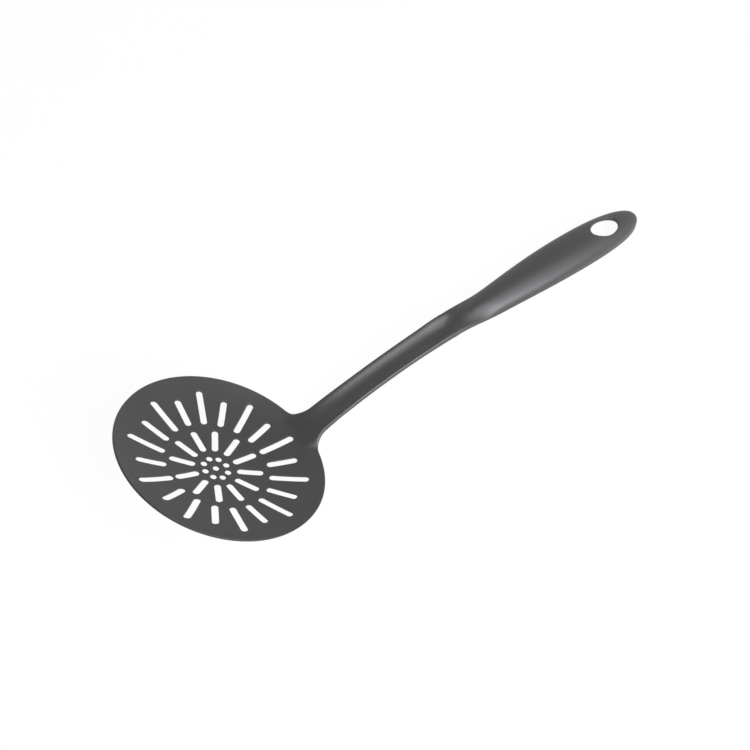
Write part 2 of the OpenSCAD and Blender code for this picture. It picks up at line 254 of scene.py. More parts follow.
# %% [markdown]
# ## The blade as part of a ball
# The blade is a cap of a hollow ball, tilted so that its front edge is up. Seen from above, such a
# cap is only a height over each point of the plan, so no ball has to be modelled and cut: the flat
# net can be pulled down onto it.

# %% The blade as part of a ball
DISH_DEPTH = 12.0
BLADE_WALL = 1.4
RIM_Z = 31.513
dish_r = (RIM_R ** 2 + DISH_DEPTH ** 2) / (2 * DISH_DEPTH)
ball_x = (dish_r - DISH_DEPTH) * math.sin(TILT)
ball_z = (dish_r - DISH_DEPTH) * math.cos(TILT) + RIM_Z


def ball(x, y, radius):
    """Height of the ball over the plan. Past the root it stays at its lowest and the neck takes over."""
    return ball_z - math.sqrt(radius ** 2 - min(x - ball_x, 0.0) ** 2 - y ** 2)


print("the ball has a radius of", round(dish_r, 1), "mm")

# %% [markdown]
# ## The line of the neck
# The neck is a bar whose two top edges follow one gentle bend. It climbs away from the root and runs
# nearly level into the grip, so two heights and two slopes fix the curve, and a small sag between
# them fits it to the real one. Near the grip the two edges stand up as lips. In plan the neck gets
# wider towards both ends.

# %% The line of the neck
ROOT_TOP, ROOT_SLOPE = 3.96, 0.28513
NECK_TOP, GRIP_SLOPE = 16.599, -0.03311
MIDDLE_SAG = 0.29069
LIP_RISE, LIP_AT, LIP_REACH = 0.6, 145.0, 14.0
NECK_HALF = 7.5
ROOT_FLARE, ROOT_FLARE_FROM, ROOT_FLARE_LEN = 0.5, 50.0, 40.0
GRIP_FLARE, GRIP_FLARE_FROM, GRIP_FLARE_LEN = 0.55, 110.0, 45.0


def neck_half(x):
    """Half the width of the neck."""
    at_grip = GRIP_FLARE * rise(x, GRIP_FLARE_FROM, GRIP_FLARE_LEN)
    at_root = ROOT_FLARE * (1 - rise(x, ROOT_FLARE_FROM, ROOT_FLARE_LEN))
    return NECK_HALF + at_grip + at_root


def neck_bend(x):
    """The gentle bend of the neck, seen from the side."""
    u = (x - ROOT_X) / NECK_LEN
    v = 1 - u
    from_root = v * v * (ROOT_TOP * (1 + 2 * u) + ROOT_SLOPE * NECK_LEN * u)
    to_grip = u * u * (NECK_TOP * (1 + 2 * v) - GRIP_SLOPE * NECK_LEN * v)
    return from_root + to_grip - 16 * MIDDLE_SAG * (u * v) ** 2


def lip_rise(x):
    """How far the two top edges stand up near the grip."""
    return LIP_RISE * (1 - ease(abs(x - LIP_AT) / LIP_REACH))


def neck_edge(x):
    """Height of the two top edges of the neck."""
    return neck_bend(x) + lip_rise(x)


print("top of the neck at the grip:", round(neck_edge(GRIP_X), 2), "mm")

# %% [markdown]
# ## The faces of the head
# Between its two top edges the neck has a shallow trough, which fades in from the blade and runs out
# in the grip. Below, the neck has a rounded belly. A soft maximum joins the neck to the blade, and
# that gives the smooth saddle at the root that a fillet between a ball and a bar would have.

# %% The faces of the head
TROUGH_DEPTH, TROUGH_SIDE, TROUGH_LIP = 1.85, 0.9, 0.72
TROUGH_FROM, TROUGH_IN = 46.0, 34.0
TROUGH_END, TROUGH_OUT = 146.0, 14.0
ROOT_THICK = 3.9
NECK_GAIN, NECK_GAIN_FROM, NECK_GAIN_LEN = 1.65, 48.0, 28.0
GRIP_GAIN, GRIP_GAIN_FROM, GRIP_GAIN_LEN = 0.35, 110.0, 40.0
BELLY_R, BELLY_FROM, BELLY_LEN = 11.9, 50.0, 22.0
SIDE_FALL = 0.1
TOP_BLEND, UNDER_BLEND = 2.5, 0.8


def trough(x, y):
    """Depth of the trough. Across, it is a round bottom and two round lips that meet at a common slope."""
    along_neck = rise(x, TROUGH_FROM, TROUGH_IN) * (1 - rise(x, TROUGH_END, TROUGH_OUT))
    across = min(abs(y) / (neck_half(x) - TROUGH_SIDE), 1.0)
    bottom = 1 - across ** 2 / TROUGH_LIP
    lip = (1 - across) ** 2 / (1 - TROUGH_LIP)
    return (TROUGH_DEPTH * along_neck + lip_rise(x)) * (bottom if across < TROUGH_LIP else lip)


def head_top(x, y):
    beside = max(abs(y) - neck_half(x), 0.0)
    neck = neck_edge(x) - trough(x, y) - SIDE_FALL * beside ** 2
    return soft_max(ball(x, y, dish_r), neck, TOP_BLEND)


def head_under(x, y):
    thickness_and_painted_shade = ROOT_THICK + NECK_GAIN * rise(x, NECK_GAIN_FROM, NECK_GAIN_LEN)
    thickness_and_painted_shade += GRIP_GAIN * rise(x, GRIP_GAIN_FROM, GRIP_GAIN_LEN)
    belly = y * y / (2 * BELLY_R) * rise(x, BELLY_FROM, BELLY_LEN)
    return soft_max(ball(x, y, dish_r + BLADE_WALL), neck_bend(x) - thickness_and_painted_shade + belly, UNDER_BLEND)


print("the neck is", round(head_top(GRIP_X, 0) - head_under(GRIP_X, 0), 2), "mm thick at the grip")

# %% [markdown]
# ## The outline of the head
# In plan the tilted round rim is an ellipse. A fillet leads from it into each side of the neck. The
# centre of the fillet lies on a curve outside the ellipse, one fillet radius away, at the place where
# it is just as far from the side of the neck. Halving an angle again and again finds that place.

# %% The outline of the head
FILLET_R = 12.0
FILLET_END = 9.0
HALVINGS = 60
FILLET_STEP, RIM_STEP, NECK_STEP = math.radians(6), math.radians(1.5), 3.0


def spaced(start, stop, step):
    """Evenly spaced places from start to stop, about one step apart."""
    count = max(int(round(abs(stop - start) / step)), 1)
    return [start + (stop - start) * i / count for i in range(count + 1)]


def rim_point(a, out=0.0):
    """A point of the rim in plan, moved outwards."""
    n = math.hypot(math.cos(a) * RIM_R, math.sin(a) * ROOT_X)
    return (
        math.cos(a) * (ROOT_X + out * RIM_R / n),
        math.sin(a) * (RIM_R + out * ROOT_X / n),
    )


fillet_y = neck_half(ROOT_X + FILLET_END) + FILLET_R
low, high = 0.05, 1.0
for _ in range(HALVINGS):
    half = (low + high) / 2
    low, high = (half, high) if rim_point(half, FILLET_R)[1] < fillet_y else (low, half)
fillet_x = rim_point(low, FILLET_R)[0]
touch = rim_point(low)
from_a = math.atan2(touch[1] - fillet_y, touch[0] - fillet_x) % (2 * math.pi)
fillet = [
    (fillet_x + FILLET_R * math.cos(a), fillet_y + FILLET_R * math.sin(a))
    for a in spaced(1.5 * math.pi, from_a, FILLET_STEP)
]
rim = [rim_point(a) for a in spaced(low, 2 * math.pi - low, RIM_STEP)]
side = [(x, neck_half(x)) for x in spaced(GRIP_X, fillet_x, NECK_STEP)[:-1]]
left_half = side + fillet
head_outline = left_half + rim[1:-1] + [(x, -y) for x, y in reversed(left_half)]
print(len(head_outline), "points; the fillets touch the rim at y =", round(touch[1], 1), "mm")

# %% [markdown]
# ## The strainer pattern
# One hole in the middle, a ring of eight, an inner row of twelve slots, and an outer row of ten long
# and ten short slots. Their places are measured along the dish, and seen in plan they move together
# because of the tilt. Each slot is a circle whose two halves are pulled apart.

# %% The strainer pattern
SLOT_W = 3.8
HOLE_D = 3.6
HOLE_RING_R = 6.8
INNER_SLOT = (11.6, 25.84)
LONG_SLOT = (28.74, 49.6)
SHORT_SLOT = (28.74, 45.5)


def on_dish(r, a):
    """A place on the dish, by its distance from the middle and its direction, seen in plan."""
    deep = (dish_r - DISH_DEPTH) - math.sqrt(dish_r ** 2 - r * r)
    return (r * math.cos(a) * math.cos(TILT) + deep * math.sin(TILT), r * math.sin(a))


def stadium(p, q, width, points=28):
    """A round-ended slot between two points of the plan."""
    turn = math.atan2(q[1] - p[1], q[0] - p[0])
    ring = []
    for i in range(points):
        a = 2 * math.pi * (i + 0.5) / points
        x, y = q if math.cos(a) > 0 else p
        ring.append((x + width / 2 * math.cos(turn + a), y + width / 2 * math.sin(turn + a)))
    return ring


def slot(reach, degrees):
    """A slot from its inner to its outer end, as wide on the tilted dish as the others."""
    a = math.radians(degrees)
    width = SLOT_W * math.cos(TILT) / math.hypot(math.cos(TILT) * math.cos(a), math.sin(a))
    return stadium(on_dish(reach[0] + SLOT_W / 2, a), on_dish(reach[1] - SLOT_W / 2, a), width)


def small_hole(r, degrees, points=24):
    """A round hole of the dish, which the tilt makes narrower in plan."""
    x, y = on_dish(r, math.radians(degrees))
    half = HOLE_D / 2
    turns = [2 * math.pi * i / points for i in range(points)]
    return [(x + half * math.cos(TILT) * math.cos(a), y + half * math.sin(a)) for a in turns]


pattern = [small_hole(0, 0)]
pattern += [small_hole(HOLE_RING_R, 45 * i) for i in range(8)]
pattern += [slot(INNER_SLOT, 30 * i) for i in range(12)]
pattern += [slot(LONG_SLOT, 36 * i) for i in range(10)]
pattern += [slot(SHORT_SLOT, 36 * i + 18) for i in range(10)]
print(len(pattern), "openings")

# %% [markdown]
# ## The edges of the head
# The rim and the neck have rounder edges than the slots. At the grip the neck isn't rounded at all,
# because the shell goes on there without a step. The rim is square to the tilted blade, so at the
# front its lower edge leans out a little. One bevel gives all its edges the same rounding, so here
# the depth is a function of the place instead.

# %% The edges of the head
RIM_ROUND, NECK_ROUND, UNDER_ROUND, SLOT_ROUND = 0.5, 0.6, 0.35, 0.25
NECK_ROUND_FROM, NECK_ROUND_LEN = 50.0, 12.0
SEAM_ROUND_AT, SEAM_ROUND_LEN = 0.8, 0.4
PATTERN_R = 53.5
RIM_LEAN, LEAN_FROM, LEAN_LEN = 0.77, 52.0, 5.5
LEAN_END, LEAN_OUT = 5.0, 30.0


def across_blade(x, y):
    """Distance from the middle of the blade, measured in the plane of the rim."""
    return math.hypot(x / math.cos(TILT), y)


def in_pattern(x, y):
    return across_blade(x, y) < PATTERN_R


def head_round(x, y, neck_round=NECK_ROUND):
    """Depth of the rounding at the nearest edge."""
    if in_pattern(x, y):
        return SLOT_ROUND
    if GRIP_X - x < neck_half(x) - abs(y):
        return neck_round * clamp((GRIP_X - x - SEAM_ROUND_AT) / SEAM_ROUND_LEN)
    return mix(RIM_ROUND, neck_round, rise(x, NECK_ROUND_FROM, NECK_ROUND_LEN))


def head_under_round(x, y):
    return head_round(x, y, UNDER_ROUND)


def rim_lean(x, y):
    """How far the lower edge of the rim leans out at the front."""
    at_rim = ease((across_blade(x, y) - LEAN_FROM) / LEAN_LEN)
    return -RIM_LEAN * at_rim * (1 - rise(x, LEAN_END, LEAN_OUT))


print("lean of the rim at the front:", round(-rim_lean(-ROOT_X, 0), 2), "mm")

# %% [markdown]
# ## The head
# Now the outline, the pattern, the two faces and the edges come together. The lines of the net are
# closer in the band of the neck, where the lips of the trough need them, than beside it. A net as
# fine as that everywhere would only make the blade heavier.

# %% The head
ROUND_REACH = 0.8
ROUND_STEPS = [0.03, 0.1, 0.22, 0.42, ROUND_REACH]
SLOT_RIMS = [(0.08, 0.32), (0.25, 1.0)]
BLADE_NET, NECK_NET = 1.5, 0.75
BLADE_BAND, NECK_BAND = 56.25, 8.25
NET_FROM, NET_TO = -48.0, 148.0

head_rims = [(d, d / ROUND_REACH) for d in ROUND_STEPS]
head = flat_plate(head_outline, head_rims, pattern, SLOT_RIMS, in_pattern)
left_lines = spaced(NECK_BAND + NECK_NET, BLADE_BAND, BLADE_NET)
right_lines = [-y for y in reversed(left_lines)]
neck_lines = spaced(-NECK_BAND, NECK_BAND, NECK_NET)
cut_net(head, spaced(NET_FROM, NET_TO, BLADE_NET), right_lines + neck_lines + left_lines)
lift(head, head_top, head_under, head_round, head_under_round, rim_lean)
print("the head has", len(head.faces), "faces")

# %% [markdown]
# ## The tang
# Behind the neck a plain strip runs on into the grip, with two holes that the shell's pegs go
# through. It is hidden, but the head would not be whole without it. It is made as a second plate and
# then read into the mesh of the head.

# %% The tang
TANG_DEEP, TANG_T = 3.1, 1.8
TANG_HALF, TANG_LEN, TANG_ROOT = 4.5, 80.0, 1.0
TANG_ROUND = 0.3
TANG_RIMS = [(0.15, 0.5), (0.4, 1.0)]
PEG_RIMS = [(0.1, 0.5), (0.25, 1.0)]
PEGS_AT = (38.0, 68.0)
PEG_HOLE_D, PEG_NEAR = 4.2, 3.0
TANG_TOP = NECK_TOP - TANG_DEEP


def tang_top(x, y):
    return TANG_TOP


def tang_under(x, y):
    return TANG_TOP - TANG_T


def tang_round(x, y):
    return TANG_ROUND


def by_peg_hole(x, y):
    return abs(y) < PEG_NEAR


start, stop = GRIP_X - TANG_ROOT, GRIP_X + TANG_LEN
strip = [(start, -TANG_HALF), (stop, -TANG_HALF), (stop, TANG_HALF), (start, TANG_HALF)]
peg_holes = [stadium((GRIP_X + x, 0), (GRIP_X + x, 0), PEG_HOLE_D) for x in PEGS_AT]
tang = flat_plate(strip, TANG_RIMS, peg_holes, PEG_RIMS, by_peg_hole)
lift(tang, tang_top, tang_under, tang_round, tang_round)
spare = bpy.data.meshes.new("tang")
tang.to_mesh(spare)
tang.free()
head.from_mesh(spare)
bpy.data.meshes.remove(spare)
strainer_head = finish_piece("skimmer_head", head, "root", "strainer_head")

# %% [markdown]
# ## The lines of the grip
# From above, the grip swells from the width of the neck to its widest place and then closes in a
# round end. From the side, its crest rises a little and drops in a long nose. Behind the neck the
# two edges of its top sink, and lower down a second pair of lines marks the rim, where the shell
# ends. Each line is a function of the place along the handle. Beside the hang hole the plan is a
# little fuller, and the upright band between edge and rim is less high.

# %% The lines of the grip
WIDE_AT, NOSE_LEN, SHOULDER_LEN, HANG_AT = 57.8, 79.3, 34.8, 26.4
SEAM_W, GRIP_W = 16.0, 25.07
SWELL_POWER, PLAN_POWER, NOSE_POWER, RIM_POWER = 1.7, 2.36, 3.0, 5.0
CREST_AT, CREST_RISE = 50.3, 1.15
SIDE_DROP, SIDE_END, SIDE_BOW = 5.8, 3.85, 2.215
EDGE_FROM, EDGE_LEN = 4.0, 33.0
RIM_DROP, RIM_DROP_END, SEAM_RIM = 1.2, 5.4, 3.2
FULLER, BAND_LOWER, BESIDE_AT, BESIDE_REACH = 0.36, 0.7, 2.0, 24.0
WIDE_X, NOSE_X, HANG_X = TIP_X - WIDE_AT, TIP_X - NOSE_LEN, TIP_X - HANG_AT
crest_r = (CREST_AT ** 2 + CREST_RISE ** 2) / (2 * CREST_RISE)


def beside_hole(x):
    """From 0 to 1 at the hang hole and back."""
    return 1 - ease(abs(x - HANG_X - BESIDE_AT) / BESIDE_REACH)


def half_w(x):
    """Half the width of the grip."""
    swell = math.sin(math.pi / 2 * clamp((x - GRIP_X) / (WIDE_X - GRIP_X))) ** SWELL_POWER
    plan = mix(SEAM_W, GRIP_W, swell) / 2 * fall((x - WIDE_X) / WIDE_AT, PLAN_POWER)
    return plan + FULLER * beside_hole(x)


def shoulder(x):
    """From 0 at the neck to 1 where the grip has its full section."""
    return rise(x, GRIP_X, SHOULDER_LEN)


def along(x):
    """From 0 behind the shoulder to 1 at the tip."""
    return clamp((x - GRIP_X - SHOULDER_LEN) / (GRIP_LEN - SHOULDER_LEN))


def nose(x, power):
    """From 1 before the nose to 0 at the tip."""
    return fall((x - NOSE_X) / NOSE_LEN, power)


def side_line(x):
    """Height of the widest line of the grip."""
    line = mix(NECK_TOP - SIDE_DROP, SIDE_END, along(x))
    return line + 4 * SIDE_BOW * along(x) * (1 - along(x)) - BAND_LOWER * beside_hole(x)


def edge_z(x):
    """Height of the two edges of the crown. They start to sink a little behind the neck."""
    return mix(NECK_TOP, side_line(x), rise(x, GRIP_X + EDGE_FROM, EDGE_LEN)) + lip_rise(x)


def crest_z(x):
    """Height of the crest, a flat arc that ends in the nose."""
    arc = NECK_TOP + CREST_RISE - crest_r + math.sqrt(crest_r ** 2 - (x - GRIP_X - CREST_AT) ** 2)
    return mix(edge_z(x), arc + lip_rise(x), nose(x, NOSE_POWER))


def rim_z(x):
    """Height of the lower rim of the shell."""
    drop = mix(RIM_DROP, RIM_DROP_END, along(x)) * nose(x, RIM_POWER)
    drop -= 2 * BAND_LOWER * beside_hole(x)
    return mix(NECK_TOP - SEAM_RIM, side_line(x) - drop, shoulder(x))


print("widest:", round(2 * half_w(WIDE_X), 1), "mm; crest:", round(crest_z(GRIP_X + CREST_AT), 1), "mm")

# %% [markdown]
# ## The crown of the grip
# Across, the top of the grip is a crown between its two edges. It starts as a soft bell on the flat
# end of the neck and turns into a round arch, which gets squarer towards the tip. A loft through
# drawn sections could make it too, but two formulas that blend have no sections to line up.

# %% The crown of the grip
BELL_POWER = 1.7
ARCH_POWER, ARCH_POWER_END = 1.97, 2.5
ARCH_FROM, ARCH_LEN = 12.0, 24.0
TINY = 1e-4


def arch(y, half, power):
    """From 1 in the middle down to 0 at the sides."""
    return fall(abs(y) / max(half, TINY), power)


def crown(x, y):
    half = max(half_w(x), TINY)
    bell = (1 - clamp(abs(y) / half) ** 2) ** BELL_POWER
    round_arch = arch(y, half, mix(ARCH_POWER, ARCH_POWER_END, along(x) ** 2))
    return mix(bell, round_arch, rise(x, GRIP_X + ARCH_FROM, ARCH_LEN))


def shell_top(x, y):
    return mix(edge_z(x), crest_z(x), crown(x, y)) - trough(x, y)


print("crown at the hang hole:", round(shell_top(HANG_X, 0), 1), "mm above the table")

# %% [markdown]
# ## The hollow of the shell
# The shell is open below, as a moulding has to be: a thick grip would sink in as it cools. Its roof
# follows the crown, and its side walls are about 2.5 mm thick where the back cover sits between them.
# Around the hang hole there is no cover, and the walls get thinner, with a bevel inside.

# %% The hollow of the shell
SEAM = 0.15
SHELL_WALL, HOLE_WALL = 2.7, 3.1
SIDE_WALL, SIDE_WALL_AT_HOLE, BEVEL, BEVEL_W = 2.4, 0.8, 1.4, 1.0
PAST_FROM, PAST_LEN = -16.0, 8.0
SEAM_HALF = 4.45
VAULT_FOOT, VAULT_POWER, CLOSE_POWER = 0.3, 3.0, 6.0
HOLLOW_END = TIP_X - 2 * SHELL_WALL


def past_cover(x):
    """From 0 over the back cover to 1 around the hang hole."""
    return rise(x, HANG_X + PAST_FROM, PAST_LEN)


def inner_half(x):
    """Half the width of the hollow, before its round end."""
    wall = mix(SIDE_WALL, SIDE_WALL_AT_HOLE, past_cover(x))
    return mix(SEAM_HALF, half_w(x) - wall, shoulder(x))


def shell_under(x, y):
    """The flat rim outside, and inside it the vault of the hollow."""
    close = fall((x - WIDE_X) / (HOLLOW_END - WIDE_X), CLOSE_POWER)
    half = inner_half(x) * close
    bevel = BEVEL * past_cover(x)
    if abs(y) >= half:
        return rim_z(x) + bevel * min((half_w(x) - abs(y)) / BEVEL_W, 1.0)
    foot = rim_z(x) + bevel
    roof = mix(TANG_TOP + SEAM, crest_z(x) - SHELL_WALL, shoulder(x))
    roof = mix(foot, max(roof, foot), close)
    vault = mix(mix(foot, roof, VAULT_FOOT), roof, arch(y, half, VAULT_POWER))
    return mix(vault, max(shell_top(x, y) - HOLE_WALL, foot), past_cover(x))


print("the hollow is", round(2 * inner_half(WIDE_X), 1), "mm wide at most over the cover")

# %% [markdown]
# ## The hang hole and the edges of the shell
# The hang hole is an oval of four arcs: two small ones at the ends and two long ones at the sides,
# which meet without a corner. Its upper edge is softly rounded. The other edges of the shell are
# rounded too, but not at the neck, where the two pieces make one surface with a hairline between.

# %% The hang hole and the edges of the shell
HOLE_LEN, HOLE_W, HOLE_END_R, HOLE_OFF = 20.0, 13.4, 3.7, -0.1
HOLE_NEAR, HOLE_NEAR_SIDE = 13.0, 1.4
HOLE_RIMS = [(0.08, 0.13), (0.2, 0.33), (0.35, 0.64), (0.55, 1.0)]
HOLE_ROUND, HOLE_UNDER_ROUND = 0.55, 0.2
EDGE_ROUND, RIM_EDGE_ROUND = 0.6, 0.5
EDGE_ROUND_FROM, EDGE_ROUND_LEN = 1.2, 0.5
RIM_ROUND_IN, RIM_ROUND_OUT = 6.0, 4.0


def oval(length, width, end_r, points=64):
    """An oval of four arcs about the origin."""
    c, b = length / 2 - end_r, width / 2
    side_r = (c * c + b * b - end_r * end_r) / (2 * (b - end_r))
    turn = math.atan2(side_r - b, c)
    ring = []
    for i in range(points):
        a = 2 * math.pi * (i + 0.5) / points
        flat = math.atan2(abs(math.sin(a)) * b, abs(math.cos(a)) * length / 2)
        if flat < turn:
            x, y = c + end_r * math.cos(flat), end_r * math.sin(flat)
        else:
            x, y = side_r * math.cos(flat), b - side_r + side_r * math.sin(flat)
        ring.append((math.copysign(x, math.cos(a)), math.copysign(y, math.sin(a))))
    return ring


def by_hang_hole(x, y):
    return math.hypot(x - HANG_X, y * HOLE_NEAR_SIDE) < HOLE_NEAR


def shell_round(x, y):
    """Depth of the rounding at the upper edges. It fades where the crown itself turns upright."""
    if by_hang_hole(x, y):
        return HOLE_ROUND
    depth = EDGE_ROUND * (1 - shoulder(x))
    if x - GRIP_X < half_w(x) - abs(y):
        depth *= clamp((x - GRIP_X - EDGE_ROUND_FROM) / EDGE_ROUND_LEN)
    return depth


def rim_round(x, y):
    """Depth of the rounding at the lower edges."""
    if by_hang_hole(x, y):
        return HOLE_UNDER_ROUND
    return RIM_EDGE_ROUND * clamp((x - GRIP_X) / RIM_ROUND_IN) * clamp((TIP_X - x) / RIM_ROUND_OUT)


hang_hole = [(HANG_X + HOLE_OFF + x, y) for x, y in oval(HOLE_LEN, HOLE_W, HOLE_END_R)]
print("hang hole:", HOLE_LEN, "by", HOLE_W, "mm,", HANG_AT, "mm from the end")

# %% [markdown]
# ## The grip shell
# The outline closes at the tip, where the plan turns quickly, so its points are spaced by an angle
# there. Two rows of the net are moved to the inner edge of the wall before the lift. Without that,
# the wall would follow the straight lines of the net, and the seam under the grip would have steps.

# %% The grip shell
HAIRLINE = 0.05
SIDE_STEP, TIP_STEPS = 4.0, 40
EDGE_RIMS = [(0.03, 0.025), (0.1, 0.083), (0.22, 0.183), (0.4, 0.333), (0.7, 0.583), (1.2, 1.0), (1.8, 1.0)]
SHELL_NET_X, SHELL_NET_Y, SHELL_NET_HALF = 1.0, 0.5, 11.5
RIM_ROW, VAULT_ROW = 0.02, -0.06
COVER_FROM_HOLE = 15.3
BACK_END = HANG_X - COVER_FROM_HOLE


def snap_to_seam(bm):
    """Moves two rows of the net to the inner edge of the wall, one on the rim and one in the hollow."""
    for v in bm.verts:
        x, y = v.co.xy
        rows = (inner_half(x) - abs(y)) / SHELL_NET_Y
        if x < BACK_END + SHELL_NET_X / 2 and -0.5 <= rows < 1.5:
            v.co.y = math.copysign(inner_half(x) + (RIM_ROW if rows < 0.5 else VAULT_ROW), y)


stations = spaced(GRIP_X + HAIRLINE, WIDE_X, SIDE_STEP)
stations += [WIDE_X + WIDE_AT * math.sin(math.pi / 2 * i / TIP_STEPS) for i in range(1, TIP_STEPS)]
upper_side = [(x, half_w(x)) for x in stations]
shell_outline = upper_side + [(TIP_X, 0.0)] + [(x, -y) for x, y in reversed(upper_side)]
shell_outline.reverse()
shell = flat_plate(shell_outline, EDGE_RIMS, [hang_hole], HOLE_RIMS, by_hang_hole)
shell_lines = spaced(GRIP_X + SHELL_NET_X, TIP_X - SHELL_NET_X, SHELL_NET_X)
cut_net(shell, shell_lines, spaced(-SHELL_NET_HALF, SHELL_NET_HALF, SHELL_NET_Y))
snap_to_seam(shell)
lift(shell, shell_top, shell_under, shell_round, rim_round)
grip_shell = finish_piece("skimmer_grip_shell", shell, "root", "grip_shell")

# %% [markdown]
# ## The grip back
# The cover under the shell is a thin plate with a slight belly. It closes the hollow from the neck
# to just before the hang hole, with a narrow seam all round. At the neck it starts under the tang,
# about as deep as the neck's own belly, so that the hand feels hardly any step there.

# %% The grip back
BACK_WALL = 2.0
BACK_EDGE_DEEP, BACK_BELLY_DEEP = 5.7, 6.0
BACK_PROUD, BACK_BELLY, BACK_BELLY_FADE = 0.3, 1.6, 1.5
BACK_RIMS = [(0.08, 0.27), (0.3, 1.0), (0.8, 1.0)]
BACK_TOP_ROUND, BACK_UNDER_ROUND = 0.2, 0.25
BACK_STEP, BACK_NET_X, BACK_NET_Y, BACK_NET_HALF = 3.0, 2.0, 1.0, 9.0


def back_half(x):
    return inner_half(x) - SEAM


def back_top(x, y):
    under_tang = TANG_TOP - TANG_T - SEAM
    return mix(under_tang, min(rim_z(x) + BACK_WALL, under_tang), shoulder(x))


def back_under(x, y):
    low_rim = rim_z(x) - BACK_PROUD
    belly = BACK_BELLY * (1 - ease(BACK_BELLY_FADE * along(x)))
    at_edge = mix(NECK_TOP - BACK_EDGE_DEEP, low_rim, shoulder(x))
    at_middle = mix(NECK_TOP - BACK_BELLY_DEEP, low_rim - belly, shoulder(x))
    return mix(at_middle, at_edge, clamp(abs(y) / back_half(x)) ** 2)


back_side = [(x, back_half(x)) for x in spaced(GRIP_X + SEAM, BACK_END, BACK_STEP)]
back_outline = [(x, -y) for x, y in back_side] + list(reversed(back_side))
back = flat_plate(back_outline, BACK_RIMS)
back_lines = spaced(GRIP_X + BACK_NET_X, BACK_END - BACK_NET_X / 2, BACK_NET_X)
cut_net(back, back_lines, spaced(-BACK_NET_HALF, BACK_NET_HALF, BACK_NET_Y))
lift(back, back_top, back_under, lambda x, y: BACK_TOP_ROUND, lambda x, y: BACK_UNDER_ROUND)
grip_back = finish_piece("skimmer_grip_back", back, "root", "grip_back")

# %% [markdown]
# ## Shader arithmetic
# A finish is a small calculation: grain here, a little darker there. Wiring Math nodes by hand hides
# that calculation, so a small class wraps a socket and lets plain Python operators add the nodes.

# %% Shader arithmetic


class Value:
    """A socket that can be used in sums."""

    def __init__(self, finish, socket):
        self.finish = finish
        self.socket = socket

    def sum(self, operation, a, b):
        return self.finish.add("ShaderNodeMath", {"operation": operation}, {0: a, 1: b})["Value"]

    def __add__(self, other):
        return self.sum("ADD", self, other)

    def __sub__(self, other):
        return self.sum("SUBTRACT", self, other)

    def __rsub__(self, other):
        return self.sum("SUBTRACT", other, self)

    def __mul__(self, other):
        return self.sum("MULTIPLY", self, other)

    __radd__ = __add__
    __rmul__ = __mul__


class Finish:
    """A material, with one method that adds any node and short ones for noise, bumps and the end."""

    def __init__(self, name):
        self.material = bpy.data.materials.new(name)
        self.material.use_nodes = True
        self.tree = self.material.node_tree
        self.tree.nodes.clear()

    def add(self, kind, settings=None, sockets=None):
        """Adds a node, gives it its settings, feeds its sockets and returns its outputs by name."""
        node = self.tree.nodes.new(kind)
        for key, value in (settings or {}).items():
            if key == "stops":
                ramp = node.color_ramp.elements
                while len(ramp) < len(value):
                    ramp.new(0.5)
                for stop, (position, colour) in zip(ramp, value):
                    stop.position = position
                    stop.color = colour
            else:
                setattr(node, key, value)
        for key, value in (sockets or {}).items():
            if isinstance(value, Value):
                self.tree.links.new(value.socket, node.inputs[key])
            else:
                node.inputs[key].default_value = value
        return {socket.name: Value(self, socket) for socket in node.outputs}

    def noise(self, where, scale, detail, roughness=0.5):
        sockets = {"Vector": where, "Scale": scale, "Detail": detail, "Roughness": roughness}
        return self.add("ShaderNodeTexNoise", {}, sockets)["Fac"]

    def bump(self, height, distance, under=None):
        """A bumpy normal, on top of another one if it is given."""
        sockets = {"Height": height, "Distance": distance, "Strength": 1.0}
        if under:
            sockets["Normal"] = under
        return self.add("ShaderNodeBump", {}, sockets)["Normal"]

    def surface(self, shader):
        self.add("ShaderNodeOutputMaterial", {}, {"Surface": shader})
        return self.material


print("shader helpers ready")

# %% [markdown]
# ## Two nylons
# The head is satin nylon: nearly smooth, with the faint ripple that a polished steel mould leaves
# and slow changes of shade where the melt flowed. The blade is painted a touch darker than the neck
# and the grip: that is painted shade, because the lamps light the blade more. The grip is the same
# nylon from a spark-eroded mould, so it has a fine even grain that breaks up the highlight. One
# function makes both, and only the grain differs. All patterns read Object coordinates, so they
# need no unwrapping.

# %% Two nylons
DARK_NYLON = (0.025, 0.0245, 0.0248)
DARKEST, PALEST = 0.75, 1.35
TONE_LOW, TONE_HIGH = 0.15, 0.85
FLOW_SHARE, GRAIN_SHARE = 0.3, 0.2
FLOW_SCALE, RIPPLE_SCALE = 22.0, 160.0
RIPPLE_HEIGHT = 0.000006
# Painted shade: between these two places along the handle the colour steps up, so the blade is painted
# darker than the neck and the grip, because the lamps light the blade more.
BLADE_X, NECK_X, NECK_PAINTED_PALER = -0.11, -0.05, 0.5
GLOSS_ROUGH, GRAIN_ROUGH, FLOW_ROUGH = 0.43, 0.12, 0.06
NYLON_IOR, NYLON_SPECULAR = 1.53, 0.5


